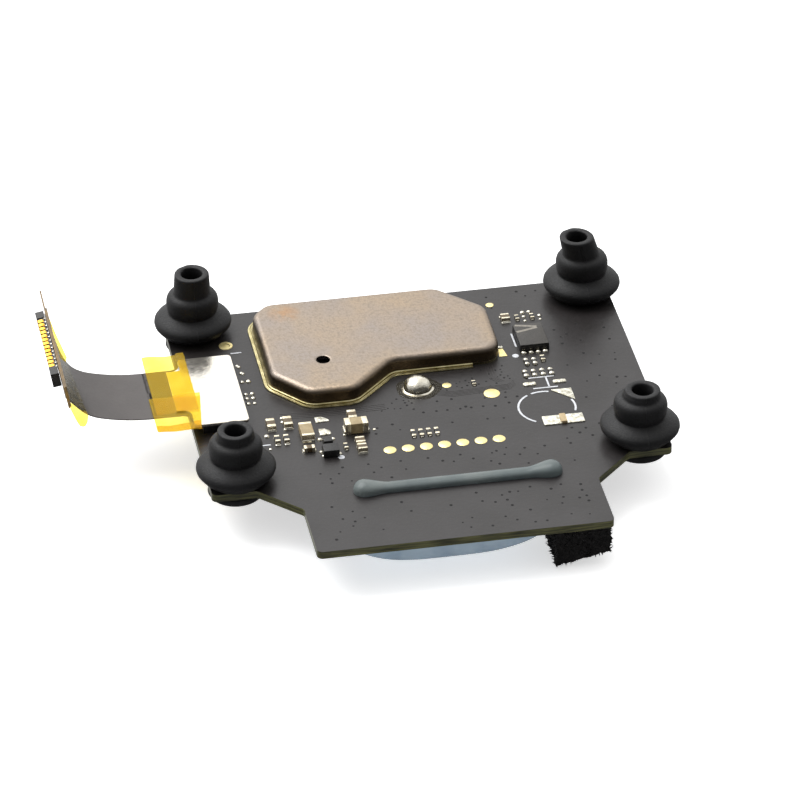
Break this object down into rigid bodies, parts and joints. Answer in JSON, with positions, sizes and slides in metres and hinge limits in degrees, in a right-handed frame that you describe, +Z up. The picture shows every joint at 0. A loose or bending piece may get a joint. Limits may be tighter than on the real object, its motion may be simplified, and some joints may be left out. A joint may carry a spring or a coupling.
{
  "type": "flight controller board",
  "caption": "Drone flight controller board with a shield can, hollow rubber vibration dampers and a flexible lead that ends in an upright plug.",
  "frame": {"origin": "centre of the four-damper rectangle, on the top face of the circuit board", "axes": "+X right, +Y towards the rear edge of the board, +Z up from the component side"},
  "size_m": [0.0605, 0.0448, 0.015],
  "materials": {
    "board_laminate": "dark grey solder mask over glass-epoxy laminate, olive cut edge",
    "damper_rubber": "matte black moulded rubber with a faint mould line",
    "shield_metal": "warm grey drawn nickel-silver sheet, lightly stained",
    "frame_metal": "tinned brass-toned frame, bright where solder wets it",
    "gold": "gold-plated copper",
    "solder": "bright reflowed tin solder",
    "chip_epoxy": "black moulded epoxy",
    "capacitor_ceramic": "tan sintered ceramic",
    "silicone": "blue-grey silicone, semi-gloss",
    "foam": "black open-cell foam",
    "thermal_gel": "soft grey-blue thermal pad",
    "flex_polyimide": "dark grey shielding film over polyimide",
    "stiffener_plate": "cream insulating sheet over a thin steel plate",
    "yellow_tape": "clear yellow polyimide tape",
    "connector_plastic": "black glass-filled nylon"
  },
  "bodies": {
    "board": {"barometer_chip": "chip_epoxy", "bridge_link": "capacitor_ceramic", "chip_resistor_bodies": "chip_epoxy", "chip_resistor_ends": "solder", "circuit_board": "board_laminate", "clock_crystal": "chip_epoxy", "diode": "chip_epoxy", "driver_chip": "chip_epoxy", "driver_chip_leads": "solder", "flex_plate": "stiffener_plate", "flex_plug": "connector_plastic", "flex_socket": "connector_plastic", "flex_socket_leads": "solder", "flex_tail": "flex_polyimide", "foam_block": "foam", "large_capacitor_bodies": "capacitor_ceramic", "large_capacitor_ends": "solder", "lower_shield_cover": "shield_metal", "lower_shield_frame": "frame_metal", "memory_chip": "chip_epoxy", "motion_sensor_chip": "chip_epoxy", "motor_driver_chip": "chip_epoxy", "plated_ring": "gold", "power_coils": "chip_epoxy", "power_socket": "connector_plastic", "power_socket_contacts": "gold", "processor_chip": "chip_epoxy", "radio_chip": "chip_epoxy", "regulator_coil": "chip_epoxy", "sensor_chip": "chip_epoxy", "shield_cover": "shield_metal", "shield_frame": "frame_metal", "signal_socket": "connector_plastic", "signal_socket_contacts": "gold", "silicone_pad": "silicone", "small_capacitor_bodies": "capacitor_ceramic", "small_capacitor_ends": "solder", "solder_blob": "solder", "solder_lands": "solder", "tape_front": "yellow_tape", "tape_rear": "yellow_tape", "test_pads": "gold", "thermal_pad": "thermal_gel"},
    "flex_strip": {"flex_strip": "flex_polyimide"},
    "flex_head": {"flex_head": "flex_polyimide", "head_stiffener": "stiffener_plate", "head_tape": "yellow_tape", "head_plug": "connector_plastic", "head_contacts": "gold", "head_solder_tails": "solder"},
    "damper_rear_left_nose": {"damper_rear_left": "damper_rubber"},
    "damper_rear_right_nose": {"damper_rear_right": "damper_rubber"},
    "damper_front_left_nose": {"damper_front_left": "damper_rubber"},
    "damper_front_right_nose": {"damper_front_right": "damper_rubber"}
  },
  "joints": [
    {"name": "damper_rear_left_squeeze", "type": "slide", "parent": "board", "child": "damper_rear_left_nose", "axis": [0, 0, 1], "range_m": [-0.001, 0.0006], "stiffness_N_per_m": 250, "deforming": ["damper_rear_left"]},
    {"name": "damper_rear_right_squeeze", "type": "slide", "parent": "board", "child": "damper_rear_right_nose", "axis": [0, 0, 1], "range_m": [-0.001, 0.0006], "stiffness_N_per_m": 250, "deforming": ["damper_rear_right"]},
    {"name": "damper_front_left_squeeze", "type": "slide", "parent": "board", "child": "damper_front_left_nose", "axis": [0, 0, 1], "range_m": [-0.001, 0.0006], "stiffness_N_per_m": 250, "deforming": ["damper_front_left"]},
    {"name": "damper_front_right_squeeze", "type": "slide", "parent": "board", "child": "damper_front_right_nose", "axis": [0, 0, 1], "range_m": [-0.001, 0.0006], "stiffness_N_per_m": 250, "deforming": ["damper_front_right"]},
    {"name": "flex_lift", "type": "hinge", "parent": "board", "child": "flex_strip", "pos_m": [-0.0265, 0.00082, 0.00106], "axis": [0, 1, 0], "range_deg": [-12, 35], "stiffness_Nm_per_rad": 0.0009, "deforming": ["flex_strip"]},
    {"name": "flex_fold", "type": "hinge", "parent": "flex_strip", "child": "flex_head", "pos_m": [-0.03483, 0.00082, 0.00325], "axis": [0, 1, 0], "range_deg": [-50, 20], "stiffness_Nm_per_rad": 0.0012}
  ]
}
